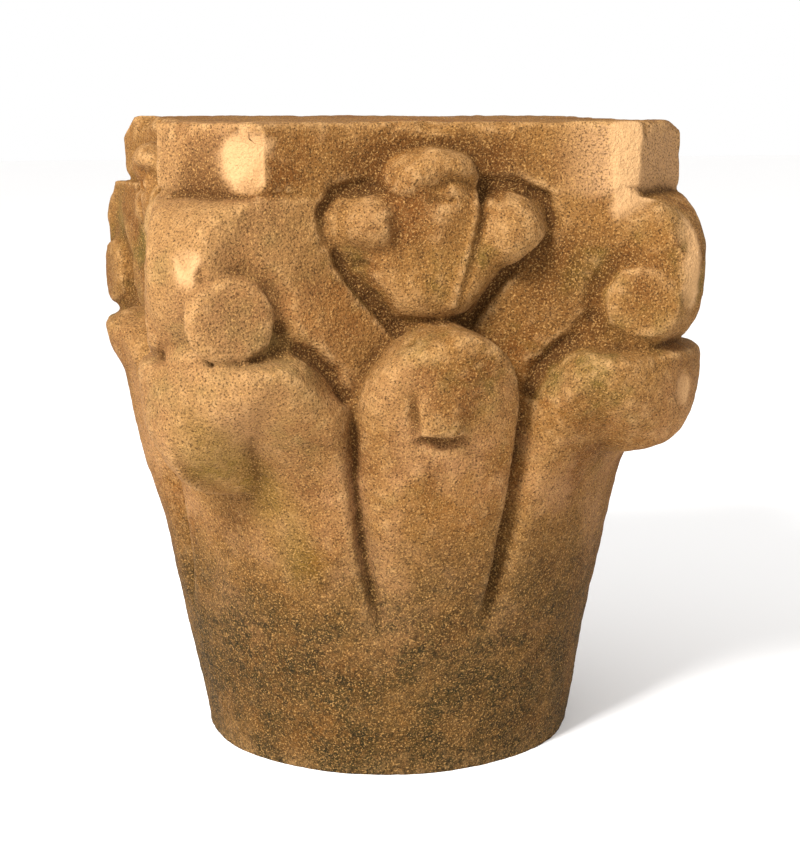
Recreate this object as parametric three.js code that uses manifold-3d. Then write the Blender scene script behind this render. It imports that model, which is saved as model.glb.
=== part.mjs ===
// Foliate corner capital for a small colonnette, cut from one block of sandstone.
// A round bell carries four face leaves, four corner leaves with drooping tips, four corner
// volutes, four three-lobed flowers and a square abacus with hollow sides and cut corners.
// Millimetres, +Z up. The origin is the centre of the bottom bed, and -Y is the front face.
import * as THREE from 'three';
import { mergeVertices } from 'three/addons/utils/BufferGeometryUtils.js';
import Module from 'manifold-3d';

// ---- Driving dimensions ----
const HEIGHT = 340;
const ABACUS_HALF = 134;
const ABACUS_CUT = 40;
const ABACUS_HOLLOW = 15;
const ABACUS_BOTTOM = 299;
const ABACUS_EDGE = 3;

const BED_RADIUS = 103.5;
const BELL_TOP_RADIUS = 146;
const BELL_TOP = 225;
const BELL_FLARE = 1.4;
const BELL_SWELL = 3;
const BELL_SWELL_TOP = 172;
const BED_EDGE = 3;
const CORE_CLEARANCE = 3;

const LEAF_FOOT = 72;
const LEAF_RELIEF = 6;
const LEAF_BACK = 90;
const LEAF_SUNK = 1;
const LEAF_SWELL = 0.8;
const LEAF_SQUARENESS = 4;
const ROLL_START = 0.9;
const GROOVE_WIDTH = 5;
const GROOVE_FADE = 45;

const FACE_LEAF_TOP = 243;
const FACE_LEAF_SHOULDER = 206;
const FACE_LEAF_HALF = 44;
const FACE_LEAF_FOOT_HALF = 23;
const FACE_LEAF_CROWN = 5;
const FACE_LEAF_ROLL = 10;

const TIP_STUB_WIDTH = 27;
const TIP_STUB_TOP = 218;
const TIP_STUB_BOTTOM = 186;
const TIP_STUB_PROUD = 7;
const TIP_STUB_BACK = 110;
const TIP_STUB_SLOPE = 3;
const TIP_STUB_LIP = 10;
const TIP_STUB_EDGE = 3;

const CORNER_LEAF_TOP = 228;
const CORNER_LEAF_SHOULDER = 205;
const CORNER_LEAF_CROWN = 6;
const CORNER_LEAF_ROLL = 5;

// The hood is turned about its own upright axis: distance from that axis, then height.
const HOOD_REACH = 184;
const HOOD_RADIUS = 34;
const HOOD_OUTLINE = [[0, 158], [19, 161], [28, 174], [33, 193], [34, 211], [31, 224], [21, 230], [0, 230]];

const VOLUTE_REACH = 186;
const VOLUTE_TOP = 303;
const VOLUTE_BOTTOM = 228;
const VOLUTE_TIP_HALF = 15;
const VOLUTE_BACK = 60;
const VOLUTE_BACK_DROP = 26;
const VOLUTE_TOP_ROUND = 30;
const VOLUTE_NOSE = 267;
const VOLUTE_LOW_ROUND = 24;
const VOLUTE_UNDER_RUN = 20;
const VOLUTE_UNDER_DROP = 4;
const FACE_VALLEY = 110;
const EYE_RADIUS = 20;
const EYE_PROUD = 4;
const EYE_HEIGHT = 251;
const EYE_FROM_TIP = 22;

const FLOWER_FRONT = 137;
const FLOWER_BACK = 90;
const FLOWER_STEP = 6;
const FLOWER_FOOT = 238;
const FLOWER_STEM_HALF = 19;
const FLOWER_EDGE = 5;
const SIDE_LOBE_RADIUS = 17;
const SIDE_LOBE_OUT = 39;
const SIDE_LOBE_HEIGHT = 290;
const SIDE_LOBE_START = -1.4;
const SIDE_LOBE_END = 2.2;
const MID_LOBE_RADIUS = 22;
const MID_LOBE_HEIGHT = 306;

// ---- Fineness ----
const BELL_SEGMENTS = 56;
const BELL_ROWS = 10;
const FACE_LEAF_COLUMNS = 8;
const CORNER_LEAF_COLUMNS = 10;
const LEAF_ROWS = 10;
const ROW_GATHER = 1.5;
const HOOD_SEGMENTS = 16;
const EYE_SEGMENTS = 18;
const ARC_SEGMENTS = 7;
const WELD = 1e-4;
const CLEAR = 1;

const SANDSTONE = new THREE.MeshStandardMaterial({ color: 0xb08a58, roughness: 0.95, metalness: 0 });

const wasm = await Module();
wasm.setup();

// ---- Joining ----
// A closed geometry becomes a solid once its shared vertices are merged.
function solid(geometry) {
  const bare = geometry.clone();
  bare.deleteAttribute('normal');
  bare.deleteAttribute('uv');
  const merged = mergeVertices(bare, WELD);
  const mesh = new wasm.Mesh({
    numProp: 3,
    vertProperties: new Float32Array(merged.attributes.position.array),
    triVerts: new Uint32Array(merged.index.array),
  });
  return new wasm.Manifold(mesh);
}

function geometryOf(manifold) {
  const mesh = manifold.getMesh();
  const geometry = new THREE.BufferGeometry();
  geometry.setAttribute('position', new THREE.BufferAttribute(mesh.vertProperties, 3));
  geometry.setIndex(new THREE.BufferAttribute(mesh.triVerts, 1));
  const flat = geometry.toNonIndexed();
  flat.computeVertexNormals();
  return flat;
}

// An outline drawn in x and z, extruded along y between two distances in front of the axis.
function frontPrism(shape, near, far, edge) {
  const length = far - near - edge;
  const geometry = new THREE.ExtrudeGeometry(shape, {
    depth: length,
    steps: 1,
    curveSegments: ARC_SEGMENTS,
    bevelEnabled: edge > 0,
    bevelThickness: edge,
    bevelSize: edge,
    bevelOffset: -edge,
    bevelSegments: 1,
  });
  geometry.rotateX(Math.PI / 2);
  geometry.translate(0, -near, 0);
  return geometry;
}

// An outline drawn in distance from the axis and height, extruded sideways about its middle.
function sideSlab(shape, width, edge) {
  const geometry = new THREE.ExtrudeGeometry(shape, {
    depth: width - 2 * edge,
    steps: 1,
    curveSegments: ARC_SEGMENTS,
    bevelEnabled: edge > 0,
    bevelThickness: edge,
    bevelSize: edge,
    bevelOffset: -edge,
    bevelSegments: 1,
  });
  geometry.translate(0, 0, edge - width / 2);
  geometry.rotateX(Math.PI / 2);
  geometry.rotateZ(-Math.PI / 2);
  return geometry;
}

// ---- Bell ----
// A flaring cone, a little swollen in its lower part.
function bellRadius(z) {
  const rise = Math.max(z, 0) / BELL_TOP;
  const low = THREE.MathUtils.clamp(z / BELL_SWELL_TOP, 0, 1);
  const cone = BED_RADIUS + (BELL_TOP_RADIUS - BED_RADIUS) * rise ** BELL_FLARE;
  return cone + BELL_SWELL * Math.sin(Math.PI * low);
}

// The core steps back behind the leaves, so that the gaps between them are grooves, and draws
// in above them to the depth of the face valleys.
function coreRadius(z) {
  const behind = THREE.MathUtils.smoothstep(z, LEAF_FOOT, LEAF_FOOT + GROOVE_FADE);
  const above = THREE.MathUtils.smoothstep(z, CORNER_LEAF_SHOULDER, CORNER_LEAF_TOP);
  const leafy = bellRadius(z) - LEAF_RELIEF * behind;
  return THREE.MathUtils.lerp(leafy, FACE_VALLEY - CORE_CLEARANCE, above);
}

function bellCore() {
  const profile = [new THREE.Vector2(0, 0), new THREE.Vector2(BED_RADIUS - BED_EDGE, 0)];
  const top = ABACUS_BOTTOM + 2 * ABACUS_EDGE;
  for (let row = 0; row <= BELL_ROWS; row += 1) {
    const z = BED_EDGE + (top - BED_EDGE) * row / BELL_ROWS;
    profile.push(new THREE.Vector2(coreRadius(z), z));
  }
  profile.push(new THREE.Vector2(0, top));
  const geometry = new THREE.LatheGeometry(profile, BELL_SEGMENTS);
  geometry.rotateX(Math.PI / 2);
  return geometry;
}

// ---- Leaves ----
// A leaf is a subdivided box bent round the bell: x runs across it, y up it and z through it.
function wrappedLeaf(columns, place) {
  const geometry = new THREE.BoxGeometry(2, 1, 1, columns, LEAF_ROWS, 1);
  const position = geometry.attributes.position;
  for (let i = 0; i < position.count; i += 1) {
    const across = position.getX(i);
    const up = position.getY(i) + 0.5;
    const outer = position.getZ(i) > 0;
    const { angle, radius, z } = place(across, up, outer);
    position.setXYZ(i, radius * Math.sin(angle), -radius * Math.cos(angle), z);
  }
  return geometry;
}

// How far a leaf's face stands off the bell: just under it at the foot, growing to its full crown,
// and rolled back at its top edge.
function leafProud(up, across, crown, roll) {
  const grown = THREE.MathUtils.smoothstep(up, 0, 1);
  const rolled = THREE.MathUtils.smoothstep(up, ROLL_START, 1);
  const crowned = crown * (1 - across ** LEAF_SQUARENESS);
  return THREE.MathUtils.lerp(-LEAF_SUNK, crowned, grown) - roll * rolled;
}

// Rows lie closer together towards the top of a leaf, where it rolls over.
function rowHeight(up) {
  return 1 - (1 - up) ** ROW_GATHER;
}

// Half the face leaf's width, widening from its foot to its shoulder.
function faceLeafHalf(z) {
  const rise = THREE.MathUtils.clamp((z - LEAF_FOOT) / (FACE_LEAF_SHOULDER - LEAF_FOOT), 0, 1);
  const swell = Math.sin(rise * Math.PI / 2) ** LEAF_SWELL;
  return FACE_LEAF_FOOT_HALF + (FACE_LEAF_HALF - FACE_LEAF_FOOT_HALF) * swell;
}

function faceLeaf() {
  return wrappedLeaf(FACE_LEAF_COLUMNS, (across, up, outer) => {
    const arch = Math.sqrt(1 - across * across);
    const top = FACE_LEAF_SHOULDER + (FACE_LEAF_TOP - FACE_LEAF_SHOULDER) * arch;
    const z = LEAF_FOOT + (top - LEAF_FOOT) * rowHeight(up);
    const proud = leafProud(up, across, FACE_LEAF_CROWN, FACE_LEAF_ROLL);
    const radius = outer ? bellRadius(z) + proud : LEAF_BACK;
    return { angle: across * faceLeafHalf(z) / bellRadius(z), radius, z };
  });
}

function cornerLeaf() {
  return wrappedLeaf(CORNER_LEAF_COLUMNS, (across, up, outer) => {
    const shoulder = CORNER_LEAF_TOP - CORNER_LEAF_SHOULDER;
    const top = CORNER_LEAF_TOP - shoulder * across ** LEAF_SQUARENESS;
    const z = LEAF_FOOT + (top - LEAF_FOOT) * rowHeight(up);
    const half = Math.PI / 4 - (faceLeafHalf(z) + GROOVE_WIDTH) / bellRadius(z);
    const proud = leafProud(up, across, CORNER_LEAF_CROWN, CORNER_LEAF_ROLL);
    const radius = outer ? bellRadius(z) + proud : LEAF_BACK;
    return { angle: across * half, radius, z };
  });
}

// The face leaf's curled tip is broken off, and its root stands out as a short block.
function tipStub() {
  const upper = bellRadius(TIP_STUB_TOP) + FACE_LEAF_CROWN;
  const lower = bellRadius(TIP_STUB_BOTTOM) + FACE_LEAF_CROWN + TIP_STUB_PROUD;
  const side = new THREE.Shape();
  side.moveTo(TIP_STUB_BACK, TIP_STUB_TOP + TIP_STUB_SLOPE);
  side.lineTo(TIP_STUB_BACK, TIP_STUB_BOTTOM - TIP_STUB_SLOPE);
  side.lineTo(lower, TIP_STUB_BOTTOM);
  side.lineTo(lower + TIP_STUB_SLOPE, TIP_STUB_BOTTOM + TIP_STUB_LIP);
  side.lineTo(upper, TIP_STUB_TOP);
  return sideSlab(side, TIP_STUB_WIDTH, TIP_STUB_EDGE);
}

// ---- Corner leaf tip: a drooping tongue, round from below ----
function hood() {
  const outline = HOOD_OUTLINE.map(([out, z]) => new THREE.Vector2(out, z));
  const geometry = new THREE.LatheGeometry(outline, HOOD_SEGMENTS);
  geometry.rotateX(Math.PI / 2);
  geometry.translate(0, HOOD_RADIUS - HOOD_REACH, 0);
  return geometry;
}

// ---- Corner volute: its side outline cut to a wedge in plan, with a round eye on each cheek ----
function volute() {
  const side = new THREE.Shape();
  side.moveTo(VOLUTE_BACK, VOLUTE_TOP);
  side.lineTo(VOLUTE_REACH - VOLUTE_TOP_ROUND, VOLUTE_TOP);
  side.quadraticCurveTo(VOLUTE_REACH, VOLUTE_TOP, VOLUTE_REACH, VOLUTE_NOSE);
  side.quadraticCurveTo(VOLUTE_REACH, VOLUTE_BOTTOM, VOLUTE_REACH - VOLUTE_LOW_ROUND, VOLUTE_BOTTOM);
  side.lineTo(VOLUTE_REACH - VOLUTE_LOW_ROUND - VOLUTE_UNDER_RUN, VOLUTE_BOTTOM - VOLUTE_UNDER_DROP);
  side.lineTo(VOLUTE_BACK, VOLUTE_BOTTOM - VOLUTE_BACK_DROP);

  // The cheeks run straight from the tip to the middle of each face.
  const valley = FACE_VALLEY * Math.SQRT1_2;
  const plan = new THREE.Shape();
  plan.moveTo(-VOLUTE_TIP_HALF, -VOLUTE_REACH - CLEAR);
  plan.lineTo(VOLUTE_TIP_HALF, -VOLUTE_REACH - CLEAR);
  plan.lineTo(valley, -valley);
  plan.lineTo(0, 0);
  plan.lineTo(-valley, -valley);
  const underside = VOLUTE_BOTTOM - VOLUTE_BACK_DROP - CLEAR;
  const depth = VOLUTE_TOP + CLEAR - underside;
  const wedge = new THREE.ExtrudeGeometry(plan, { depth, steps: 1, bevelEnabled: false });
  wedge.translate(0, 0, underside);
  let body = solid(sideSlab(side, 2 * FACE_VALLEY, 0)).intersect(solid(wedge));

  const cheek = new THREE.Vector2(valley - VOLUTE_TIP_HALF, VOLUTE_REACH - valley).normalize();
  for (const hand of [-1, 1]) {
    const eye = new THREE.CylinderGeometry(EYE_RADIUS, EYE_RADIUS, 2 * EYE_PROUD, EYE_SEGMENTS);
    eye.rotateZ(hand * Math.atan2(cheek.y, cheek.x));
    const out = VOLUTE_TIP_HALF + cheek.x * EYE_FROM_TIP;
    eye.translate(hand * out, cheek.y * EYE_FROM_TIP - VOLUTE_REACH, EYE_HEIGHT);
    body = body.add(solid(eye));
  }
  return body;
}

// ---- Flower: two side lobes, and a middle lobe that stands proud of them on the stem ----
function sideLobes() {
  const outline = new THREE.Shape();
  outline.moveTo(-FLOWER_STEM_HALF, FLOWER_FOOT);
  outline.lineTo(FLOWER_STEM_HALF, FLOWER_FOOT);
  outline.absarc(SIDE_LOBE_OUT, SIDE_LOBE_HEIGHT, SIDE_LOBE_RADIUS, SIDE_LOBE_START, SIDE_LOBE_END);
  const leftStart = Math.PI - SIDE_LOBE_END;
  const leftEnd = Math.PI - SIDE_LOBE_START;
  outline.absarc(-SIDE_LOBE_OUT, SIDE_LOBE_HEIGHT, SIDE_LOBE_RADIUS, leftStart, leftEnd);
  return frontPrism(outline, FLOWER_BACK, FLOWER_FRONT - FLOWER_STEP, FLOWER_EDGE);
}

function middleLobe() {
  const outline = new THREE.Shape();
  outline.moveTo(-FLOWER_STEM_HALF + FLOWER_EDGE, FLOWER_FOOT);
  outline.lineTo(FLOWER_STEM_HALF - FLOWER_EDGE, FLOWER_FOOT);
  outline.absarc(0, MID_LOBE_HEIGHT, MID_LOBE_RADIUS, 0, Math.PI, false);
  return frontPrism(outline, FLOWER_BACK, FLOWER_FRONT, FLOWER_EDGE);
}

// ---- Abacus ----
function abacus() {
  const halfChord = ABACUS_HALF - ABACUS_CUT;
  const radius = (halfChord ** 2 + ABACUS_HOLLOW ** 2) / (2 * ABACUS_HOLLOW);
  const spread = Math.asin(halfChord / radius);
  const outside = ABACUS_HALF - ABACUS_HOLLOW + radius;
  const plan = new THREE.Shape();
  for (let face = 0; face < 4; face += 1) {
    const out = face * Math.PI / 2 - Math.PI / 2;
    const back = out + Math.PI;
    const x = outside * Math.cos(out);
    const y = outside * Math.sin(out);
    plan.absarc(x, y, radius, back + spread, back - spread, true);
  }
  const geometry = new THREE.ExtrudeGeometry(plan, {
    depth: HEIGHT - ABACUS_BOTTOM - 2 * ABACUS_EDGE,
    steps: 1,
    curveSegments: ARC_SEGMENTS,
    bevelEnabled: true,
    bevelThickness: ABACUS_EDGE,
    bevelSize: ABACUS_EDGE,
    bevelOffset: -ABACUS_EDGE,
    bevelSegments: 1,
  });
  geometry.translate(0, 0, ABACUS_BOTTOM + ABACUS_EDGE);
  return geometry;
}

// ---- The carved block ----
function carvedCapital() {
  let block = solid(bellCore()).add(solid(abacus()));
  const flower = solid(sideLobes()).add(solid(middleLobe()));
  const onFaces = solid(faceLeaf()).add(solid(tipStub())).add(flower);
  const onCorners = solid(cornerLeaf()).add(solid(hood())).add(volute());
  for (let turn = 0; turn < 4; turn += 1) {
    block = block.add(onFaces.rotate([0, 0, 90 * turn]));
    block = block.add(onCorners.rotate([0, 0, 90 * turn + 45]));
  }
  return geometryOf(block);
}

const group = new THREE.Group();
const capital = new THREE.Mesh(carvedCapital(), SANDSTONE);
capital.name = 'capital';
group.add(capital);

export default group;
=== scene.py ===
import math
import random

import bmesh
import bpy
import numpy as np
from mathutils import Matrix, Vector, noise


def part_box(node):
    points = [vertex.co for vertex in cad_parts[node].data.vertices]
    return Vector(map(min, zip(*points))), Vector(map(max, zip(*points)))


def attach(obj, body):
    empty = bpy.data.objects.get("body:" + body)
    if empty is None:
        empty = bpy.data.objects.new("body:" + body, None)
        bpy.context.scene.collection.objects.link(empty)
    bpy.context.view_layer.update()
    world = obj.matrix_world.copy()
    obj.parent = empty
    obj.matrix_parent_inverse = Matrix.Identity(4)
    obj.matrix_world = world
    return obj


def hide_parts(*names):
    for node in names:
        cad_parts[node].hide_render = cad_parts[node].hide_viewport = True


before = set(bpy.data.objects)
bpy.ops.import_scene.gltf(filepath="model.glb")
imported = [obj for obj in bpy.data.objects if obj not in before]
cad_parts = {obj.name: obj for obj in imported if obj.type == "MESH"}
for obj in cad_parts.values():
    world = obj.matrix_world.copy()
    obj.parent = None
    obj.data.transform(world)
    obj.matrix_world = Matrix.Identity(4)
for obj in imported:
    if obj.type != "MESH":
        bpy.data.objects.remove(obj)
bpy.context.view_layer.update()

# ---- Bell and leaves ----
# The lower two thirds of the block is a round bell that flares upwards. One broad leaf lies on each
# face and one on each corner, cut out by deep grooves, and each corner leaf hangs over in a blunt tip.
# It is roughed out here in millimetres as one round skin, pushed in and out.
MM = 0.001
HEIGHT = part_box("capital")[1].z / MM
BED_RADIUS = 103.5
BELL_TOP_RADIUS = 146
BELL_TOP = 225
BELL_FLARE = 1.4
BELL_SWELL = 3
BELL_SWELL_TOP = 172
SKIN_TOP = 270
BED_SPARE = 3
CORE_RADIUS = 104
RING_CUTS = 540
HEIGHT_CUTS = 180
QUARTER = math.pi / 2

# A value with three numbers is an amount, and the heights where it starts and is full.
# The block was never quite round: its left side is fuller.
LEFT_FULLNESS = (2, 10, 70)
GROOVE_DEPTH = 10
GROOVE_FOOT = 74
GROOVE_FADE = 34

FACE_LEAF_FOOT_HALF = 22
FACE_LEAF_SHOULDER = 206
FACE_LEAF_TOP = 243
FACE_LEAF_SWELL = 0.8
FACE_CROWN = (5, 90, 215)
# The left leaf's belly starts lower and eases off again above.
LEFT_CROWN = (6, 105, 170)
LEFT_CROWN_EASE = (3, 175, 215)
# Each face leaf's half width and rounding, then its groove's width and the corner leaf's rounding, for
# its left and right sides as one faces it: front, right, rear and left.
LEFT_EDGES = ((44, 15, 3.5, 4), (43, 7, 4, 9), (44, 10, 4, 7), (43, 15, 4, 8))
RIGHT_EDGES = ((41.5, 5, 6, 9), (43, 11, 4, 7), (42, 8, 5, 9), (43, 15, 4, 8))
# How far each face leaf's tip stands proud, its left and right limits and its foot. The first two
# are broken off short, and the others still curl.
FACE_TIPS = ((6, -15, 11, 187), (5, -12, 14, 192), (9, -17, 15, 203), (4.5, -18, 16, 203))
WHOLE_TIPS = (2, 3)
# Where a tip's edges start and end, from its limits and from its foot.
TIP_LEFT = (-2, 4)
TIP_RIGHT = (-10, 3)
STUB_UNDER = (-1, 3)
STUB_OVER = (2, 30)
CURL_UNDER = (-1, 17)
CURL_OVER = (24, 42)

CORNER_LEAF_SIDE = 204
CORNER_LEAF_TOP = 230
CORNER_LEAF_SHOULDER = 24
CORNER_LEAF_ROUND = 7
# Lengths round a corner are measured at this distance from the axis.
CORNER_ARC = 172
SIDE_BULGE = 3
SIDE_BULGE_RUN = 40
SIDE_STAND = 1.5
SIDE_RISE = (100, 205)
# Each corner leaf swells outwards this much, to this far either side, and sooner on the outer side of
# the front left one.
CORNER_SWELL = 34
CORNER_SWELL_HALF = 78
FRONT_LEFT_HALF = 54
CORNER_SWELL_RISE = (148, 226)
# Reach, half width, lowest point and shift to the left of each corner leaf's hanging tip, from the
# front right round.
HOODS = ((182, 36, 169, 0), (183, 26, 158, 3), (184, 30, 164, -2), (184, 29, 153, -6))
FRONT_LEFT = 3
HOOD_LEVEL = 204
HOOD_SPREAD = (16, 180, 214)
HOOD_SHIFT_RISE = (215, 190)
# A low power makes a full, steep flank and a high one a gentle slope.
HOOD_FLANK = 0.45
HOOD_SOFT_FLANK = 0.85
HOOD_BROW = 0.95
HOOD_BROW_RISE = (184, 214)
# The hood draws back above this height, by this share of the height's cube.
HOOD_LEAN_START = 202
HOOD_LEAN = 0.00055


def blend_between(value, low, high):
    """0 below low, 1 above high and a smooth rise between them."""
    part = np.clip((value - low) / (high - low), 0, 1)
    return part * part * (3 - 2 * part)


def blend_near(value, place, run):
    return blend_between(value, place + run[0], place + run[1])


def grown(z, growth):
    amount, low, high = growth
    return amount * blend_between(z, low, high)


def rounded_edge(depth_in, width):
    """Quarter round: 0 at an edge, 1 once width inside it."""
    part = 1 - np.clip(depth_in / width, 0, 1)
    return np.sqrt(1 - part * part)


def bell_radius(z):
    rise = np.clip(z, 0, None) / BELL_TOP
    swell = BELL_SWELL * np.sin(math.pi * np.clip(z / BELL_SWELL_TOP, 0, 1))
    return BED_RADIUS + (BELL_TOP_RADIUS - BED_RADIUS) * rise ** BELL_FLARE + swell


def face_leaf_half(shoulder_half, z):
    rise = np.clip((z - GROOVE_FOOT) / (FACE_LEAF_SHOULDER - GROOVE_FOOT), 0, 1)
    swell = np.sin(rise * math.pi / 2) ** FACE_LEAF_SWELL
    return FACE_LEAF_FOOT_HALF + (shoulder_half - FACE_LEAF_FOOT_HALF) * swell


def face_leaf(face, x, z, half, bell, floor, depth_in, rounding):
    """A face leaf's skin, which bellies out to its middle and has a tip that stands proud."""
    left_crown = grown(z, LEFT_CROWN) - grown(z, LEFT_CROWN_EASE)
    crown = np.where(face == 3, left_crown, grown(z, FACE_CROWN))
    crown = crown * (1 - np.clip(np.abs(x) / half, 0, 1) ** 2)
    proud, left, right, foot = np.array(FACE_TIPS)[face].T
    tip_side = blend_near(x, left, TIP_LEFT) * (1 - blend_near(x, right, TIP_RIGHT))
    broken = blend_near(z, foot, STUB_UNDER) * (1 - blend_near(z, foot, STUB_OVER))
    whole = blend_near(z, foot, CURL_UNDER) * (1 - blend_near(z, foot, CURL_OVER))
    tip_rise = np.where(np.isin(face, WHOLE_TIPS), whole, broken)
    leaf = floor + (bell + crown - floor) * rounded_edge(depth_in, rounding)
    return leaf + proud * tip_side * tip_rise


def corner_leaf(corner, turn, z, bell, floor, depth_in, rounding):
    """A corner leaf's skin, which swells towards the corner and hangs over in its tip."""
    reach, hood_half, tip, shift = np.array(HOODS)[corner].T
    around = (turn % QUARTER - QUARTER / 2) * CORNER_ARC
    side_bulge = np.sin(np.clip(depth_in / SIDE_BULGE_RUN, 0, 1) * math.pi) * SIDE_BULGE + SIDE_STAND
    base = bell + side_bulge * blend_between(z, *SIDE_RISE)
    swell_half = np.where((corner == FRONT_LEFT) & (around < 0), FRONT_LEFT_HALF, CORNER_SWELL_HALF)
    swelling = np.clip(1 - (around / swell_half) ** 2, 0, 1)
    base = base + CORNER_SWELL * swelling * blend_between(z, *CORNER_SWELL_RISE)

    spread = hood_half + grown(z, HOOD_SPREAD)
    drop = np.clip((HOOD_LEVEL - z) / (HOOD_LEVEL - tip), 0, 1)
    hanging = around - shift * blend_between(z, *HOOD_SHIFT_RISE)
    inside = np.clip(1 - (hanging / spread) ** 2 - drop ** 2, 0, 1)
    flank = np.where((corner == FRONT_LEFT) & (hanging > 0), HOOD_SOFT_FLANK, HOOD_FLANK)
    sharpness = flank + (HOOD_BROW - flank) * blend_between(z, *HOOD_BROW_RISE)
    reach = reach - HOOD_LEAN * np.clip(z - HOOD_LEAN_START, 0, None) ** 3
    leaf = base + np.clip(reach - base, 0, None) * inside ** sharpness

    leaf = floor + (leaf - floor) * rounded_edge(depth_in, rounding)
    shoulder = blend_between(depth_in, 0, CORNER_LEAF_SHOULDER)
    top = CORNER_LEAF_SIDE + (CORNER_LEAF_TOP - CORNER_LEAF_SIDE) * shoulder
    return floor + (leaf - floor) * rounded_edge(top - z, CORNER_LEAF_ROUND)


def skin_radius(turn, z):
    """Distance of the carved skin from the axis, by angle from the front and by height."""
    bell = bell_radius(z) + np.clip(-np.sin(turn), 0, 1) * grown(z, LEFT_FULLNESS)
    face = np.round(turn / QUARTER).astype(int) % 4
    corner = np.floor(turn / QUARTER).astype(int) % 4
    from_face = turn - QUARTER * np.round(turn / QUARTER)
    on_right = (from_face > 0)[:, None]
    edges = np.where(on_right, np.array(RIGHT_EDGES)[face], np.array(LEFT_EDGES)[face])
    shoulder_half, face_round, groove_width, corner_round = edges.T
    x = np.sin(from_face) * bell
    across = np.abs(x)

    # Depth inside each leaf's outline.
    half = face_leaf_half(shoulder_half, z)
    above = np.clip((z - FACE_LEAF_SHOULDER) / (FACE_LEAF_TOP - FACE_LEAF_SHOULDER), 0, None)
    dome = (1 - np.sqrt((across / half) ** 2 + above ** 2)) * half
    in_face = np.where(above > 0, dome, half - across)
    in_corner = across - half - groove_width

    floor = bell - GROOVE_DEPTH * blend_between(z, GROOVE_FOOT, GROOVE_FOOT + GROOVE_FADE)
    floor = floor + (CORE_RADIUS - floor) * blend_between(z, CORNER_LEAF_SIDE, CORNER_LEAF_TOP)
    on_face = face_leaf(face, x, z, half, bell, floor, in_face, face_round)
    on_corner = corner_leaf(corner, turn, z, bell, floor, in_corner, corner_round)
    return np.maximum(np.where(in_face > 0, on_face, floor), np.where(in_corner > 0, on_corner, floor))


rough_forms = []


def keep_form(form, name):
    """Turns a rough form's faces outwards and keeps its mesh for the block."""
    bmesh.ops.recalc_face_normals(form, faces=form.faces)
    mesh = bpy.data.meshes.new(name)
    form.to_mesh(mesh)
    form.free()
    rough_forms.append(mesh)
    return mesh


def read_points(mesh, kind="co"):
    values = np.empty(len(mesh.vertices) * 3)
    mesh.vertices.foreach_get(kind, values)
    return values.reshape(-1, 3)


def write_points(mesh, points):
    mesh.vertices.foreach_set("co", points.ravel())
    mesh.update()


form = bmesh.new()
bmesh.ops.create_cone(form, cap_ends=True, segments=RING_CUTS, radius1=1, radius2=1, depth=1)
upright = [e for e in form.edges if abs(e.verts[0].co.z - e.verts[1].co.z) > 0.5]
bmesh.ops.subdivide_edges(form, edges=upright, cuts=HEIGHT_CUTS, use_grid_fill=True)
bell_mesh = keep_form(form, "bell")
points = read_points(bell_mesh)
turns = np.arctan2(points[:, 0], -points[:, 1]) % (2 * math.pi)
levels = (points[:, 2] + 0.5) * (SKIN_TOP + BED_SPARE) - BED_SPARE
radii = skin_radius(turns, levels)
write_points(bell_mesh, np.stack([radii * np.sin(turns), -radii * np.cos(turns), levels], 1))

# ---- Volutes ----
# From behind the leaves a stalk runs up to each corner and curls over in a blunt volute under the
# abacus. Each is cut from the solid: a wedge in plan, with a round eye standing on either cheek.
VOLUTE_TOP = 303.6
VOLUTE_TOP_ROUND = 28
VOLUTE_TOP_START = 272
VOLUTE_NOSE = 264
VOLUTE_LOW_TURN = 68
VOLUTE_UNDER = 24.5
VOLUTE_BACK = 60
VOLUTE_BACK_FOOT = 196
# The underside's run back: distance from the axis and drop below the volute's lowest point.
UNDERSIDE = ((155, 4), (140, 8))
ARRIS_ROUND = 6
ARRIS_RUN = 20
ARRIS_CLEAR = 2
CHEEK_ANGLE = 14.9
EYE_TILT = 6
EYE_TAPER = 4
# Reach, half width and lower rounding of each tip, then its eyes' radius, height and how far in
# and proud they stand.
VOLUTES = (
    (187.5, 12, 28, 20.5, 251, 21.5, 3),
    (187, 15, 28, 20, 251, 20, 3),
    (193, 19, 28, 21, 249, 20, 3),
    (187, 16, 34, 22.5, 248, 16, 3),
)
# The outer eyes of the two front volutes stand further in, by corner and cheek.
SET_IN = {(0, 1): 9, (3, -1): 10}
# A web of stone was left between the front left volute and the leaf below it.
WEB_SIZE = (18, 17, 11)
WEB_INSET = 22
WEB_LEVEL = 228


def arc(centre, size, start, end, steps):
    """Points on an ellipse's arc, angles in degrees."""
    angles = np.radians(np.linspace(start, end, steps))
    return [(centre[0] + size[0] * math.cos(a), centre[1] + size[1] * math.sin(a)) for a in angles]


def add_slab(form, outline, place_near, place_far):
    """An outline's two copies, near and far, joined into a closed solid."""
    near = [form.verts.new(place_near(*point)) for point in outline]
    face = form.faces.new(near)
    grown_parts = bmesh.ops.extrude_face_region(form, geom=[face])["geom"]
    for vert in [part for part in grown_parts if isinstance(part, bmesh.types.BMVert)]:
        start = min(range(len(near)), key=lambda i: (near[i].co - vert.co).length)
        vert.co = place_far(*outline[start])


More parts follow.
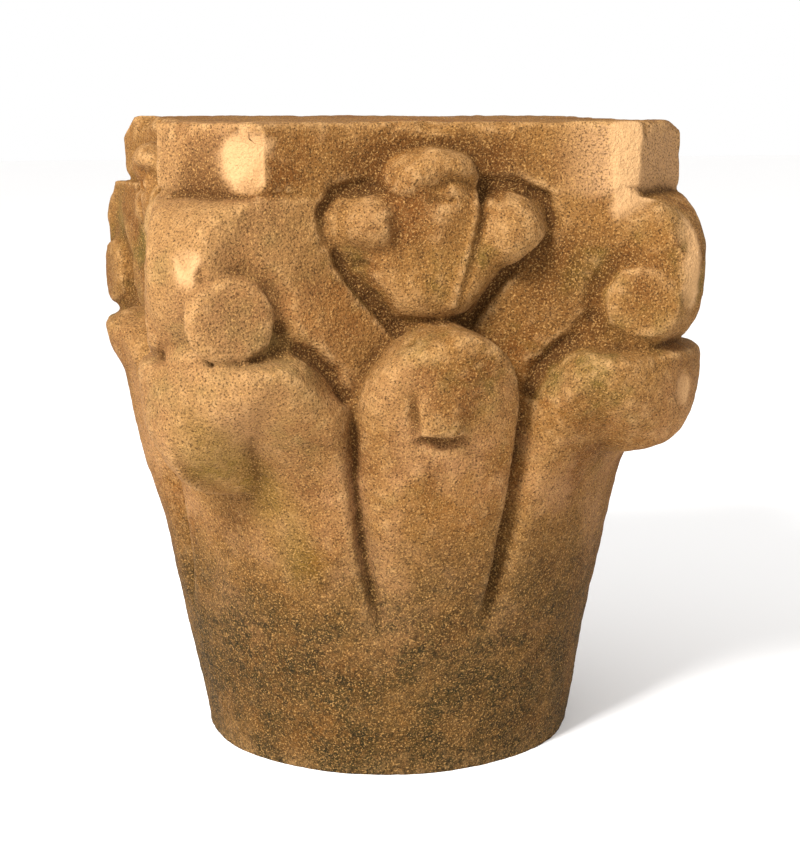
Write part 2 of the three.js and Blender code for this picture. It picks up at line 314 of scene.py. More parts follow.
cheek_slope = math.tan(math.radians(45 - CHEEK_ANGLE))
for corner, volute in enumerate(VOLUTES):
    reach, tip_half, rounding, eye_radius, eye_height, eye_inset, eye_proud = volute
    bottom = eye_height - VOLUTE_UNDER
    top_centre = (reach - VOLUTE_TOP_ROUND, VOLUTE_TOP_START)
    low_centre = (reach - rounding, VOLUTE_NOSE)
    outline = (
        [(VOLUTE_BACK, VOLUTE_TOP)]
        + arc(top_centre, (VOLUTE_TOP_ROUND, VOLUTE_TOP - VOLUTE_TOP_START), 90, 0, 9)
        + arc(low_centre, (rounding, VOLUTE_NOSE - bottom), 0, -VOLUTE_LOW_TURN, 8)
        + [(out, bottom - drop) for out, drop in UNDERSIDE]
        + [(VOLUTE_BACK, VOLUTE_BACK_FOOT)]
    )
    # The wedge is drawn facing the front, and turned to its corner when it is done.
    form = bmesh.new()
    add_slab(
        form,
        outline,
        lambda out, z: Vector((-tip_half - (reach - out) * cheek_slope, -out, z)),
        lambda out, z: Vector((tip_half + (reach - out) * cheek_slope, -out, z)),
    )
    arrises = [
        e
        for e in form.edges
        if e.verts[0].co.x * e.verts[1].co.x > 0
        and min(-v.co.y for v in e.verts) > reach - ARRIS_RUN
        and min(v.co.z for v in e.verts) > bottom + ARRIS_CLEAR
    ]
    bmesh.ops.bevel(
        form,
        geom=arrises,
        offset=ARRIS_ROUND,
        offset_type="OFFSET",
        segments=4,
        profile=0.5,
        affect="EDGES",
        material=-1,
    )
    if corner == FRONT_LEFT:
        web = bmesh.ops.create_icosphere(form, subdivisions=3, radius=1)["verts"]
        bmesh.ops.scale(form, verts=web, vec=WEB_SIZE)
        bmesh.ops.translate(form, verts=web, vec=(0, WEB_INSET - reach, WEB_LEVEL))
    for hand in (-1, 1):
        eye = bmesh.ops.create_cone(
            form,
            cap_ends=True,
            segments=48,
            radius1=eye_radius,
            radius2=eye_radius - EYE_TAPER,
            depth=2 * eye_proud,
        )["verts"]
        cheek_run = Vector((hand * cheek_slope, 1, 0)).normalized()
        outward = Vector((hand * cheek_run.y, -abs(cheek_run.x), 0))
        outward.rotate(Matrix.Rotation(math.radians(-hand * EYE_TILT), 3, "Z"))
        turn = Vector((0, 0, 1)).rotation_difference(outward).to_matrix()
        bmesh.ops.rotate(form, verts=eye, cent=(0, 0, 0), matrix=turn)
        inset = eye_inset + SET_IN.get((corner, hand), 0)
        centre = Vector((hand * tip_half, -reach, eye_height)) + cheek_run * inset
        bmesh.ops.translate(form, verts=eye, vec=centre)
    spin = Matrix.Rotation(math.radians(45 + 90 * corner), 3, "Z")
    bmesh.ops.rotate(form, verts=form.verts, cent=(0, 0, 0), matrix=spin)
    keep_form(form, "volute")

# ---- Flowers ----
# In the middle of each face a flower rises from behind the leaf: a broad stem, a round lobe at
# either side and a taller cupped lobe between them that reaches up over the abacus.
FLOWER_WIDE = 120
FLOWER_FOOT = 236
FLOWER_TALL = 96
FLOWER_STEPS = 84
FLOWER_BACK = 96
FLOWER_SUNK = 6
# Middle and size of each swelling, across, outwards and up.
FLOWER_LOBES = (
    ((-34, 117, 292), (16.5, 20, 15.5)),
    ((36, 117, 287), (19, 20, 19)),
    ((-3, 116, 298), (23, 19, 30)),
    ((-5, 122, 313), (24, 15, 14)),
)
LOBE_FULLNESS = 2.4
# The body between them widens upwards from this half width and stands out this far. It is rounded
# towards its sides and its foot, and ends between the lobes.
BODY_MIDDLE = -3
BODY_FOOT = 243
BODY_FOOT_HALF = 19
BODY_SPREAD = 0.7
BODY_SPREAD_RUN = 40
BODY_OUT = 131
BODY_ROUND = 18
BODY_FOOT_ROUND_TOP = 275
BODY_FOOT_ROUND_RUN = 34
BODY_TOP = 300
BODY_TOP_RUN = 8
# How steeply each form falls away past its edge, and how softly they run together.
EDGE_FALL = 40
RUN_TOGETHER = 1.6


def flower_depth(x, z):
    """How far the flower stands out from the block's middle."""
    half = BODY_FOOT_HALF + BODY_SPREAD * np.clip(z - BODY_FOOT, 0, BODY_SPREAD_RUN)
    aside = np.clip(np.abs(x - BODY_MIDDLE) / half, 0, None)
    below = np.clip((BODY_FOOT_ROUND_TOP - z) / BODY_FOOT_ROUND_RUN, 0, None)
    off = np.hypot(aside ** 2, below ** 2)
    off = np.where(z > BODY_TOP, off + (z - BODY_TOP) / BODY_TOP_RUN, off)
    crown = BODY_ROUND * (1 - np.sqrt(np.clip(1 - off ** 2, 0, 1)))
    forms = [np.full(x.shape, FLOWER_BACK), BODY_OUT - crown - EDGE_FALL * np.clip(off - 1, 0, None)]
    for (middle, out, level), (wide, thick, tall) in FLOWER_LOBES:
        off = np.hypot((x - middle) / wide, (z - level) / tall)
        dome = out + thick * np.sqrt(np.clip(1 - off ** LOBE_FULLNESS, 0, 1))
        forms.append(dome - EDGE_FALL * np.clip(off - 1, 0, None))
    heap = sum(np.exp(np.clip(part, FLOWER_BACK, None) / RUN_TOGETHER) for part in forms)
    return RUN_TOGETHER * np.log(heap)


for face in range(4):
    form = bmesh.new()
    bmesh.ops.create_grid(form, x_segments=FLOWER_STEPS, y_segments=FLOWER_STEPS, size=0.5)
    grown_parts = bmesh.ops.extrude_face_region(form, geom=list(form.faces))["geom"]
    front = [part for part in grown_parts if isinstance(part, bmesh.types.BMVert)]
    bmesh.ops.translate(form, verts=front, vec=(0, 0, 1))
    flower = keep_form(form, "flower")
    points = read_points(flower)
    x = points[:, 0] * FLOWER_WIDE
    z = FLOWER_FOOT + (points[:, 1] + 0.5) * FLOWER_TALL
    out = np.where(points[:, 2] > 0.5, flower_depth(x, z), FLOWER_BACK - FLOWER_SUNK)
    write_points(flower, np.stack([x, -out, z], 1))
    flower.transform(Matrix.Rotation(math.radians(90 * face), 4, "Z"))

# ---- Abacus ----
# The flat square slab on top has hollow sides and cut corners. It is the top of the same block, set
# off from the volutes by a narrow sunk neck.
ABACUS_HALF = 134
ABACUS_HOLLOW = 15
ABACUS_BOTTOM = 306
ABACUS_EDGE = 2.5
HOLLOW_STEPS = 25
NECK_DROP = 12
NECK_RISE = 8
NECK_SCALE = 0.97
CORNER_CUTS = (38, 40, 46, 44)


def hollow_side(start_cut, end_cut):
    """One side of the abacus in plan, left to right as one faces it."""
    left = -(ABACUS_HALF - start_cut)
    right = ABACUS_HALF - end_cut
    middle = (left + right) / 2
    half = (right - left) / 2
    steps = np.linspace(left, right, HOLLOW_STEPS)
    return [(x, -ABACUS_HALF + ABACUS_HOLLOW * (1 - ((x - middle) / half) ** 2)) for x in steps]


plan = []
for face in range(4):
    spin = Matrix.Rotation(math.radians(90 * face), 2)
    side = hollow_side(CORNER_CUTS[face - 1], CORNER_CUTS[face])
    plan += [tuple(spin @ Vector(point)) for point in side]

form = bmesh.new()
add_slab(
    form,
    plan,
    lambda x, y: Vector((x, y, ABACUS_BOTTOM)),
    lambda x, y: Vector((x, y, HEIGHT)),
)
bmesh.ops.bevel(
    form,
    geom=[e for e in form.edges if abs(e.verts[0].co.z - e.verts[1].co.z) < 1],
    offset=ABACUS_EDGE,
    offset_type="OFFSET",
    segments=2,
    profile=0.5,
    affect="EDGES",
    material=-1,
)
add_slab(
    form,
    plan,
    lambda x, y: Vector((x * NECK_SCALE, y * NECK_SCALE, ABACUS_BOTTOM - NECK_DROP)),
    lambda x, y: Vector((x * NECK_SCALE, y * NECK_SCALE, ABACUS_BOTTOM + NECK_RISE)),
)
keep_form(form, "abacus")

# ---- One block, and its finer carving ----
# All of these forms are one stone, so they are fused into a single skin and its edges are eased. The
# finer cuts are then worked into it with strokes of a round-nosed chisel, that sink or raise it.
VOXEL = 1.6
whole = bmesh.new()
for mesh in rough_forms:
    whole.from_mesh(mesh)
rough = bpy.data.meshes.new("rough_block")
whole.to_mesh(rough)
whole.free()
for mesh in rough_forms:
    bpy.data.meshes.remove(mesh)
stone = bpy.data.objects.new("capital_stone", rough)
bpy.context.scene.collection.objects.link(stone)


def apply_modifiers(piece):
    """Gives the piece the mesh that its modifiers make, and clears them."""
    depsgraph = bpy.context.evaluated_depsgraph_get()
    made = bpy.data.meshes.new_from_object(piece.evaluated_get(depsgraph))
    old = piece.data
    piece.modifiers.clear()
    piece.data = made
    bpy.data.meshes.remove(old)


fuse = stone.modifiers.new("fuse", "REMESH")
fuse.mode = "VOXEL"
fuse.voxel_size = VOXEL
ease = stone.modifiers.new("ease", "SMOOTH")
ease.factor = 0.5
ease.iterations = 5
apply_modifiers(stone)
points = read_points(stone.data)
normals = read_points(stone.data, "normal")


def side_axes(degrees):
    """Across and outward directions of the side that faces this way round from the front."""
    angle = math.radians(degrees)
    across = np.array((math.cos(angle), math.sin(angle), 0))
    outward = np.array((math.sin(angle), -math.cos(angle), 0))
    return across, outward


# A stroke works only on points this far out on its own side.
STROKE_OUT = 60


def stroke_strength(degrees, path, width, facing=0.15):
    """1 along a path of (across, height, strength) points on one side, fading to 0 at width / 2."""
    across, outward = side_axes(degrees)
    flat = np.stack([points @ across, points[:, 2]], 1)
    near = (points @ outward > STROKE_OUT) & (normals @ outward > facing)
    lows = np.min([p[:2] for p in path], 0) - width
    highs = np.max([p[:2] for p in path], 0) + width
    near &= np.all((flat > lows) & (flat < highs), 1)
    chosen = flat[near]
    best = np.zeros(len(chosen))
    for start, end in zip(path[:-1], path[1:]):
        run = np.array(end[:2]) - start[:2]
        part = np.clip((chosen - start[:2]) @ run / (run @ run), 0, 1)
        gap = np.linalg.norm(chosen - start[:2] - part[:, None] * run, axis=1)
        bowl = np.clip(1 - (2 * gap / width) ** 2, 0, 1) ** 1.5
        best = np.maximum(best, bowl * (start[2] + (end[2] - start[2]) * part))
    strength = np.zeros(len(points))
    strength[near] = best
    return strength


def carve(degrees, path, width, depth, facing=0.15):
    """Sinks a stroke into the stone, or raises it where depth is negative."""
    points[:] = points - normals * (depth * stroke_strength(degrees, path, width, facing))[:, None]


# Each cut's path, width and depth.
FLOWER_CUTS = (
    # The middle lobe's brow, the hollow and the slit beneath it.
    (((-25, 300, 0.5), (-16, 314, 1), (-4, 322, 1), (12, 319, 0.8)), 13, -3),
    (((-5, 306, 0.6), (4, 312, 1), (13, 311, 0.8)), 13, 4.5),
    (((-6, 302, 1), (5, 303, 1)), 5, 2.6),
    # Its right edge, standing over a groove, and its softer left edge.
    (((17, 314, 0.5), (17, 296, 1), (12, 272, 1), (6, 252, 0.6)), 8, -1.6),
    (((22, 310, 1), (21, 298, 1), (16, 276, 0.5), (10, 254, 0.2)), 7, 4),
    (((-25, 302, 0.6), (-22, 285, 0.8), (-17, 262, 0.2)), 11, 2.4),
    # The channel down its middle.
    (((-12, 296, 0.4), (-10, 280, 1), (-7, 256, 0.2)), 16, 2),
    # The ledge below its left lobe.
    (((-50, 277, 0.9), (-42, 272, 1), (-33, 270, 0.3)), 7, 2.6),
    # The deep valleys between the stem and the stalks of the volutes.
    (((-53, 283, 0.2), (-48, 272, 0.8), (-40, 262, 1), (-30, 250, 1), (-19, 238, 0.9)), 9, 6),
    (((56, 284, 0.3), (47, 274, 0.8), (35, 264, 1), (26, 252, 1), (19, 241, 0.9)), 7, 6),
    # The dark pockets over the side lobes and the line under the stem.
    (((-56, 284, 0.5), (-58, 297, 1), (-51, 307, 1), (-34, 310, 0.6)), 9, 5),
    (((24, 310, 0.7), (38, 310, 0.9), (54, 303, 1), (59, 290, 0.8)), 9, 5),
    (((-18, 245, 0.6), (-1, 243, 1), (16, 245, 0.6)), 4, 2),
)
for face in range(4):
    for path, width, depth in FLOWER_CUTS:
        carve(90 * face, path, width, depth)

# Each cheek's hollow runs round the inner side of its eye, which has a thin raised rim. These stops
# are angles round the eye and strengths.
EYE_HOLLOW = ((-30, 0.9), (-5, 1), (20, 0.9), (55, 0.5), (85, 0.1))
EYE_RIM = ((-80, 0.2), (-30, 1), (10, 1), (50, 1), (100, 0.2))
# The hollow falls away below the stalk, which is dished. These stops are distances in from the eye,
# heights and strengths.
EYE_FALL = ((27, 243, 1), (38, 232, 1), (56, 218, 0.8))
STALK_DISH = ((30, 272, 0), (52, 268, 1), (68, 250, 0.6))


def round_eye(eye, hand, height, radius, stops):
    angles, strengths = zip(*stops)
    turns = np.radians(angles)
    across = eye - hand * radius * np.cos(turns)
    return list(zip(across, height + radius * np.sin(turns), strengths))


def in_from_eye(eye, hand, stops):
    return [(eye - hand * inset, height, strength) for inset, height, strength in stops]


lean = math.radians(45 - CHEEK_ANGLE)
for face in range(4):
    for hand, corner in ((1, face), (-1, (face + 3) % 4)):
        reach, tip_half, _, eye_radius, eye_height, eye_inset, _ = VOLUTES[corner]
        inset = eye_inset + SET_IN.get((corner, -hand), 0)
        eye = hand * (reach * math.cos(lean) - tip_half * math.sin(lean) - inset)
        side = 90 * face - hand * CHEEK_ANGLE
        carve(side, round_eye(eye, hand, eye_height, eye_radius + 6, EYE_HOLLOW), 14, 3, 0.6)
        carve(side, round_eye(eye, hand, eye_height, eye_radius - 1, EYE_RIM), 5, -1.4, 0.6)
        carve(side, in_from_eye(eye, hand, EYE_FALL), 12, 3.2, 0.5)
        carve(side, in_from_eye(eye, hand, STALK_DISH), 34, 2)

# The front leaf's broken tip has a groove down its left side and a deep shadow under it.
FRONT_TIP_CUTS = (
    (((-17, 214, 0.2), (-17, 204, 1), (-16, 190, 1)), 6, 3),
    (((-13, 186, 0.8), (0, 184, 1), (9, 186, 0.7)), 8, 4),
    (((14, 207, 0.8), (24, 210, 0.5)), 5, 1.5),
)
for path, width, depth in FRONT_TIP_CUTS:
    carve(0, path, width, depth)

# The corner leaves' upper edges stand clear of the stalks behind them.
LEAF_EDGE = ((47, 207, 0.7), (54, 219, 1), (64, 229, 1), (78, 234, 0.4))
for face in range(4):
    for hand in (-1, 1):
        edge = [(hand * across, height, strength) for across, height, strength in LEAF_EDGE]
        carve(90 * face, edge, 9, 3.5)

# The rear left corner of the abacus was cut fuller than the others.
FULL_CORNER = (-134, 95)
FULL_CORNER_OUT = 4.5
corner_gap = np.linalg.norm(points[:, :2] - np.array(FULL_CORNER), axis=1)
fuller = (1 - blend_between(corner_gap, 10, 60)) * blend_between(points[:, 2], 298, 310)
points[:, 0] -= FULL_CORNER_OUT * fuller

write_points(stone.data, points)
soften = stone.modifiers.new("soften", "SMOOTH")
soften.factor = 0.5
soften.iterations = 2
apply_modifiers(stone)
points = read_points(stone.data)
normals = read_points(stone.data, "normal")

# ---- Weathering ----
# Centuries of weather have left the whole skin gently lumpy and pitted, knocks have broken flat chips
# from its edges, and grit has settled in its sharpest hollows.

# How far the skin is moved, the lumps' size and a seed.
WEAR = ((1.0, 34, 1), (0.45, 13, 2), (0.4, 5, 3))
SEED_STEPS = (17.3, 5.1, 9.7)


def lumps(size, seed):
    """Smooth noise over the stone, with lumps of this size in millimetres."""
    shift = Vector([seed * step for step in SEED_STEPS])
    return np.array([noise.noise(Vector(p) / size + shift) for p in points])


wear = sum(amount * lumps(size, seed) for amount, size, seed in WEAR)
points = points + normals * wear[:, None]
points[:, 2] = np.where(points[:, 2] < 0, 0, points[:, 2])

# Each chip's middle, outward direction, radius and depth. These are the pale fresh ones.
FRESH_CHIPS = (
    ((-97, -131, 322), (-0.6, -0.8, 0.06), 16, 1.5),
    ((92, -130, 322), (0.2, -0.975, 0.04), 30, 2.2),
    ((-125, -141, 272), (-0.55, -0.83, 0.1), 10, 1.1),
    ((126, -138, 285), (0.5, -0.83, 0.2), 8, 0.9),
    ((128, -138, 270), (0.5, -0.86, 0), 9, 1.1),
    ((127, -138, 256), (0.5, -0.86, -0.1), 8, 0.9),
    ((128, -132, 206), (0.5, -0.86, 0.05), 9, 1.1),
)
OLD_CHIPS = (
    ((-138, 96, 336), (-0.7, 0.3, 0.7), 18, 3.5),
    ((134, -94, 340), (0.5, -0.3, 0.8), 13, 2.5),
)
ABACUS_CHIP_RIMS = (HEIGHT, HEIGHT, HEIGHT, ABACUS_BOTTOM, ABACUS_BOTTOM)
ABACUS_CHIP_OUT = 130
VOLUTE_CHIP_RIMS = (HEIGHT, 285)
VOLUTE_CHIP_OUT = 183
# A chip under the abacus stops short of the volute below it.
CHIP_RISE = 6
LOW_CHIP_RISE = 1.5
LOW_CHIP_LEVEL = 315
chips = list(FRESH_CHIPS + OLD_CHIPS)
worn = random.Random(11)
for face in range(4):
    across, outward = side_axes(90 * face)
    for rim in ABACUS_CHIP_RIMS:
        middle = across * worn.uniform(-96, 96) + outward * ABACUS_CHIP_OUT + np.array((0, 0, rim))
        lift = 1 if rim == HEIGHT else -1
        facing = outward + across * worn.uniform(-0.4, 0.4) + np.array((0, 0, lift))
        chips.append((middle, facing, worn.uniform(7, 15), worn.uniform(0.8, 2)))
    across, outward = side_axes(90 * face + 45)
    for rim in VOLUTE_CHIP_RIMS:
        middle = outward * VOLUTE_CHIP_OUT + across * worn.uniform(-16, 16) + np.array((0, 0, rim))
        aside = across * worn.uniform(-0.5, 0.5)
        facing = outward + aside + np.array((0, 0, worn.uniform(-0.3, 0.8)))
        chips.append((middle, facing, worn.uniform(7, 12), worn.uniform(0.4, 1)))
broken = []
for middle, outward, radius, depth in chips:
    outward = np.array(outward) / np.linalg.norm(outward)
    centre = points[np.argmin(np.linalg.norm(points - np.array(middle), axis=1))]
    broken.append((centre, outward, radius, depth))
    off = points - centre
    rise = off @ outward + depth
    limit = depth + (LOW_CHIP_RISE if centre[2] < LOW_CHIP_LEVEL else CHIP_RISE)
    rise = rise * ((rise > 0) & (rise < limit) & (np.linalg.norm(off, axis=1) < radius))
    points = points - outward * rise[:, None]
write_points(stone.data, points)

FACES_KEPT = 190000
thin = stone.modifiers.new("thin", "DECIMATE")
thin.ratio = FACES_KEPT / (2 * len(stone.data.polygons))
apply_modifiers(stone)
points = read_points(stone.data)
normals = read_points(stone.data, "normal")
ends = np.empty(len(stone.data.edges) * 2, int)
stone.data.edges.foreach_get("vertices", ends)
ends = ends.reshape(-1, 2)
neighbours = np.bincount(ends.ravel(), minlength=len(points))


def eased(values, rounds):
    """The values spread over each point's neighbours this many times."""
    for _ in range(rounds):
        total = np.empty_like(values)
        for axis in range(values.shape[1]):
            column = values[:, axis]
            total[:, axis] = np.bincount(ends[:, 0], column[ends[:, 1]], len(values))
            total[:, axis] += np.bincount(ends[:, 1], column[ends[:, 0]], len(values))
        values = 0.5 * values + 0.5 * total / neighbours[:, None]
    return values


# The grit eases the floors of hollows that are sharper than this, over this many points round.
SHARP_HOLLOW = (0.7, 1.5)
SETTLE_ROUNDS = 8
settled = eased(points, SETTLE_ROUNDS) - points
points = points + settled * blend_between(np.sum(settled * normals, 1), *SHARP_HOLLOW)[:, None]
write_points(stone.data, points)
normals = read_points(stone.data, "normal")

# ---- The stone's surface ----
# The block is an ochre sandstone whose colour follows its wear and the light: painted light keeps the
# open parts that face the lamp pale, with rain washing them too, painted shade darkens its hollows and
# recesses, with some dirt, moss grows low down and fresh breaks are bright. Values painted at each
# point say where.


def paint(name, values):
    stone.data.attributes.new(name, "FLOAT", "POINT").data.foreach_set("value", values)


x, y, z = points.T
to_front = normals[:, 1] < -0.5
not_up = normals[:, 2] < 0.5
within_abacus = ABACUS_HALF - np.abs(points[:, :2]).max(1)

# How far each point stands over the stone round it, for worn crests, painted shade with some dirt in
# the hollows, and crisp arrises.
STANDING_ROUNDS = 22
ARRIS_ROUNDS = 5
DEEP_ROUNDS = 160
standing = np.sum((points - eased(points, STANDING_ROUNDS)) * normals, 1)
paint("crest", np.clip(standing / 1.6, 0, 1))
paint("hollow_shade_and_dirt", np.clip(-standing / 1.8, 0, 1))
paint("arris", np.clip(np.sum((points - eased(points, ARRIS_ROUNDS)) * normals, 1) / 0.4 - 0.2, 0, 1))

# Painted shade: the deep parts are darkened, with some dirt, and so is the shade under the abacus,
# less so on its right, which turns towards the lamp, and the flower's shadow on the stalks right of
# the front flower.
painted_abacus_shade = blend_between(within_abacus, 3, 15) * blend_between(z, 294, 302) * not_up
painted_abacus_shade = painted_abacus_shade * (1 - 0.8 * blend_between(x, 30, 75))
painted_stalk_shadow = blend_between(x, 25, 60) * blend_between(z, 226, 244)
painted_stalk_shadow *= (1 - blend_between(z, 282, 300)) * to_front * blend_between(within_abacus, -4, 10)
painted_shade_and_dirt = np.sum((eased(points, DEEP_ROUNDS) - points) * normals, 1) / 6
paint("painted_shade_and_dirt", painted_shade_and_dirt + 0.8 * painted_abacus_shade + 0.7 * painted_stalk_shadow)

# Painted light on the front left corner, which faces the lamp and is also washed by rain, and on the
# abacus's front rim at either end, most on its right, which turns towards the lamp.
CORNER_LIGHT_AND_WASH = 0.28
LEFT_RIM_LIGHT = 0.1
RIGHT_RIM_LIGHT = 0.9
lit_and_washed = CORNER_LIGHT_AND_WASH * blend_between(-(x + y) * math.sqrt(0.5), 96, 180)
rim = blend_between(z, 300, 308) * to_front * not_up
right_of_corner = blend_between(x, -104, -90)
lit_and_washed *= 1 - rim * right_of_corner
lit_and_washed += LEFT_RIM_LIGHT * rim * (1 - right_of_corner)
lit_and_washed += RIGHT_RIM_LIGHT * rim * blend_between(x, 52, 88)
paint("lit_and_washed", lit_and_washed * blend_between(z, 90, 150))

# Algae runs down the fold of the front left leaf.
ALGAE_SIDE = -40
ALGAE_FOLD = ((-8, 190, 0.7), (-8, 172, 1), (2, 156, 0.6), (10, 138, 0.5), (16, 120, 0.7))
ALGAE_WIDTH = 40
paint("algae", stroke_strength(ALGAE_SIDE, ALGAE_FOLD, ALGAE_WIDTH))

# The chips' flats are fresh, and so is the front right volute's arris, which is rubbed bare.
FLAT_WITHIN = 0.7
RUBBED_SIDE = 45
RUBBED_ARRIS = ((-5, 291, 0.7), (-5, 272, 1), (-4, 251, 0.8))
RUBBED_WIDTH = 13
fresh = np.zeros(len(points))
for centre, outward, radius, depth in broken[: len(FRESH_CHIPS)]:
    off = points - centre
    flat = np.abs(off @ outward + depth) < FLAT_WITHIN
    fresh = np.maximum(fresh, flat * blend_between(-np.linalg.norm(off, axis=1), -radius, 3 - radius))
rubbed = stroke_strength(RUBBED_SIDE, RUBBED_ARRIS, RUBBED_WIDTH, 0.3)
fresh = np.maximum(fresh, 0.8 * blend_between(rubbed, 0.3, 0.55))
paint("fresh", eased(fresh[:, None], 2)[:, 0])

stone.data.transform(Matrix.Scale(MM, 4))
for polygon in stone.data.polygons:
    polygon.use_smooth = True
stone.data.update()
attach(stone, "root")
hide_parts("capital")


def linear(text):
    """A colour's linear values from its sRGB hex."""
    parts = [int(text[i : i + 2], 16) / 255 for i in (0, 2, 4)]
    return tuple(c / 12.92 if c <= 0.04045 else ((c + 0.055) / 1.055) ** 2.4 for c in parts) + (1,)


def add_node(tree, kind, values=None, links=None, **settings):
    """Adds a node with its settings, its fixed inputs and the outputs that feed the others."""
    node = tree.nodes.new(kind)
    for name, value in settings.items():
        setattr(node, name, value)
    for socket, value in (values or {}).items():
        node.inputs[socket].default_value = value
    for socket, source in (links or {}).items():
        tree.links.new(source, node.inputs[socket])
    return node


# Weathered hand-carved sandstone: quartz grains in a rusty clay, which make it dull, rough and
# speckled, ochre with painted light where it faces the lamp and rain keeps it clean, and dark where
# moss holds and where painted shade and dirt fill its recesses.
STONE_ROUGHNESS = 0.92
STONE_SHEEN = 0.1
BARE_STONE = "755026"
# The size in millimetres of each pattern's blots, its detail and a seed. Real grains are about half a
# millimetre across, too fine to show, so they are drawn 1 mm across and the pits between them 1.5 mm.
PATTERNS = {
    "clay": (42, 3, 1),
    "rust": (70, 3, 2),
    "olive": (34, 4, 3),
    "pink": (55, 3, 4),
    "crest wear": (9, 3, 5),
    "moss patches": (22, 6, 6),
    "moss tufts": (2.2, 4, 7),
    "moss shade": (3, 5, 8),
    "pits": (1.5, 2, 9),
    "dark grains": (1.0, 3, 10),
    "pale grains": (0.95, 3, 11),
    "dents": (4.5, 3, 12),
    "algae patches": (14, 4, 13),
    "arris wear": (6, 3, 14),
}
# Each layer's colour over the ones before it, and what covers it: a value, and where there is a ramp,
# the values at its start and end and how much it covers there. The covers are multiplied. Most layers
# are stains; some are painted light and painted shade.
STAINS_AND_PAINTED_LIGHT = (
    # Darker and redder clay in broad blots.
    ("613B17", [("clay", 0.42, 0.66, 0, 1)]),
    ("764615", [("rust", 0.52, 0.72, 0, 0.6)]),
    # An olive film round the volutes, and a pink stain on the leaves.
    (
        "4F4516",
        [("height", 0.12, 0.2, 0, 1), ("height", 0.32, 0.27, 0, 1), ("olive", 0.48, 0.68, 0, 0.75)],
    ),
    (
        "966C46",
        [("height", 0.04, 0.11, 0, 1), ("height", 0.26, 0.17, 0, 1), ("pink", 0.47, 0.66, 0, 0.75)],
    ),
    # Painted light where the stone faces the lamp, partly rain-washed stone, then algae, and the
    # rubbed crests and arrises.
    ("A57E56", [("lit_and_washed",)]),
    ("6A5618", [("algae",), ("algae patches", 0.34, 0.6, 0.35, 0.75)]),
    ("987145", [("crest",), ("crest wear", 0.35, 0.65, 0.1, 0.6)]),
    ("B48C5C", [("arris",), ("arris wear", 0.4, 0.64, 0.05, 0.6)]),
    # Painted shade, with some dirt, in the deep parts, under the abacus, on the stalks and in the
    # hollows.
    ("4A2A0B", [("painted_shade_and_dirt", 0, 1, 0, 0.78)]),
    ("43290F", [("hollow_shade_and_dirt", 0.1, 1, 0, 0.75)]),
    # Moss low on the bell, and the shade in its tufts.
    (
        "2A230C",
        [
            ("height", 0.165, 0.065, 0, 1),
            ("moss patches", 0.33, 0.6, 0.5, 0.95),
            ("moss tufts", 0.3, 0.62, 0.55, 1),
        ],
    ),
    (
        "10140A",
        [
            ("height", 0.165, 0.065, 0, 1),
            ("moss patches", 0.33, 0.6, 0.5, 0.95),
            ("moss shade", 0.46, 0.66, 0, 0.8),
        ],
    ),
    # Fresh breaks, then the dark and pale grains, which are fainter there.
    ("B88F62", [("fresh",)]),
    ("2A190A", [("fresh", 0, 0.8, 1, 0.25), ("dark grains", 0.54, 0.32, 0, 0.85)]),
    ("AC824B", [("fresh", 0, 0.8, 1, 0.25), ("pale grains", 0.5, 0.72, 0, 0.8)]),
)
# Each bump's pattern, strength and depth in millimetres.
BUMPS = (("pits", 0.9, 1.2), ("dents", 0.6, 2.5))

sandstone = bpy.data.materials.new("weathered_hand_carved_sandstone")
sandstone.use_nodes = True
tree = sandstone.node_tree
shader = tree.nodes["Principled BSDF"]
shader.inputs["Roughness"].default_value = STONE_ROUGHNESS
shader.inputs["Specular IOR Level"].default_value = STONE_SHEEN
place = add_node(tree, "ShaderNodeTexCoord").outputs["Object"]
signals = {"height": add_node(tree, "ShaderNodeSeparateXYZ", links={0: place}).outputs["Z"]}
for name in ("lit_and_washed", "algae", "crest", "arris", "painted_shade_and_dirt", "hollow_shade_and_dirt", "fresh"):
    signals[name] = add_node(tree, "ShaderNodeAttribute", attribute_name=name).outputs["Fac"]
for name, (size, detail, seed) in PATTERNS.items():
    signals[name] = add_node(
        tree,
        "ShaderNodeTexNoise",
        {"Scale": 1 / (size * MM), "Detail": detail, "Roughness": 0.6, "W": seed},
        {"Vector": place},
        noise_dimensions="4D",
    ).outputs["Fac"]

colour = None
for layer_colour, covers in STAINS_AND_PAINTED_LIGHT:
    share = None
    for source, *ramp in covers:
        cover = signals[source]
        if ramp:
            fixed = dict(zip(("From Min", "From Max", "To Min", "To Max"), ramp))
            cover = add_node(
                tree, "ShaderNodeMapRange", fixed, {"Value": cover}, interpolation_type="SMOOTHSTEP"
            ).outputs["Result"]
        if share is not None:
            cover = add_node(
                tree, "ShaderNodeMath", links={0: share, 1: cover}, operation="MULTIPLY"
            ).outputs["Value"]
        share = cover
    fixed = {7: linear(layer_colour)}
    fed = {0: share}
    if colour is None:
        fixed[6] = linear(BARE_STONE)
    else:
        fed[6] = colour
    colour = add_node(tree, "ShaderNodeMix", fixed, fed, data_type="RGBA").outputs[2]
tree.links.new(colour, shader.inputs["Base Color"])

relief = None
for name, strength, depth in BUMPS:
    fed = {"Height": signals[name]}
    if relief is not None:
        fed["Normal"] = relief
    fixed = {"Strength": strength, "Distance": depth * MM}
    relief = add_node(tree, "ShaderNodeBump", fixed, fed).outputs["Normal"]
tree.links.new(relief, shader.inputs["Normal"])
stone.data.materials.append(sandstone)

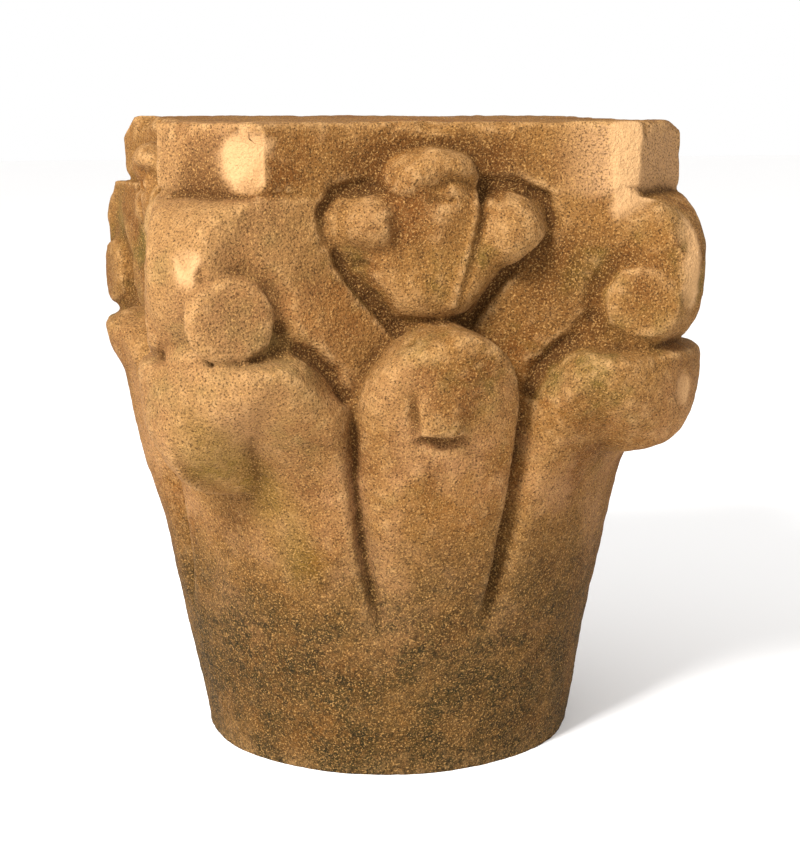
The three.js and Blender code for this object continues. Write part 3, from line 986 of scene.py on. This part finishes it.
# ---- Floor, light and camera ----
# The capital stands on a wide sheet of pale paper, under one large soft lamp from its left front and
# an even white surround. The camera looks down a little on its front left side, from a metre away.
FLOOR = 9.0
FLOOR_COLOUR = "FDFCFB"
CAMERA_LENS = 75
CAMERA_PLACE = (-0.2000, -0.9575, 0.3523)
CAMERA_DOWN = 10.5
CAMERA_TURN = -12.21
LAMP_POWER = 88
LAMP_SIZE = 0.5
LAMP_PLACE = (-1.25, -1.25, 1.5)
LAMP_AIM = (0, 0, 0.17)

sheet = bmesh.new()
bmesh.ops.create_grid(sheet, x_segments=1, y_segments=1, size=FLOOR)
floor_mesh = bpy.data.meshes.new("floor")
sheet.to_mesh(floor_mesh)
sheet.free()
floor = bpy.data.objects.new("floor", floor_mesh)
bpy.context.scene.collection.objects.link(floor)
# Matt white paper, with no shine, so that it shows only the soft shadow.
paper = bpy.data.materials.new("matt_white_paper")
paper.use_nodes = True
paper_shader = paper.node_tree.nodes["Principled BSDF"]
paper_shader.inputs["Base Color"].default_value = linear(FLOOR_COLOUR)
paper_shader.inputs["Roughness"].default_value = 0.9
floor_mesh.materials.append(paper)

camera_data = bpy.data.cameras.new("camera")
camera_data.lens = CAMERA_LENS
camera = bpy.data.objects.new("camera", camera_data)
bpy.context.scene.collection.objects.link(camera)
camera.location = CAMERA_PLACE
camera.rotation_euler = (math.radians(90 - CAMERA_DOWN), 0, math.radians(CAMERA_TURN))
bpy.context.scene.camera = camera
bpy.context.scene.view_settings.view_transform = "Standard"

world = bpy.data.worlds.new("studio")
bpy.context.scene.world = world
world.use_nodes = True
world.node_tree.nodes["Background"].inputs["Color"].default_value = (1, 1, 1, 1)
world.node_tree.nodes["Background"].inputs["Strength"].default_value = 1.0
key_data = bpy.data.lights.new("key", "AREA")
key_data.energy = LAMP_POWER
key_data.size = LAMP_SIZE
key = bpy.data.objects.new("key", key_data)
bpy.context.scene.collection.objects.link(key)
key.location = LAMP_PLACE
key.rotation_euler = (Vector(LAMP_AIM) - key.location).to_track_quat("-Z", "Y").to_euler()
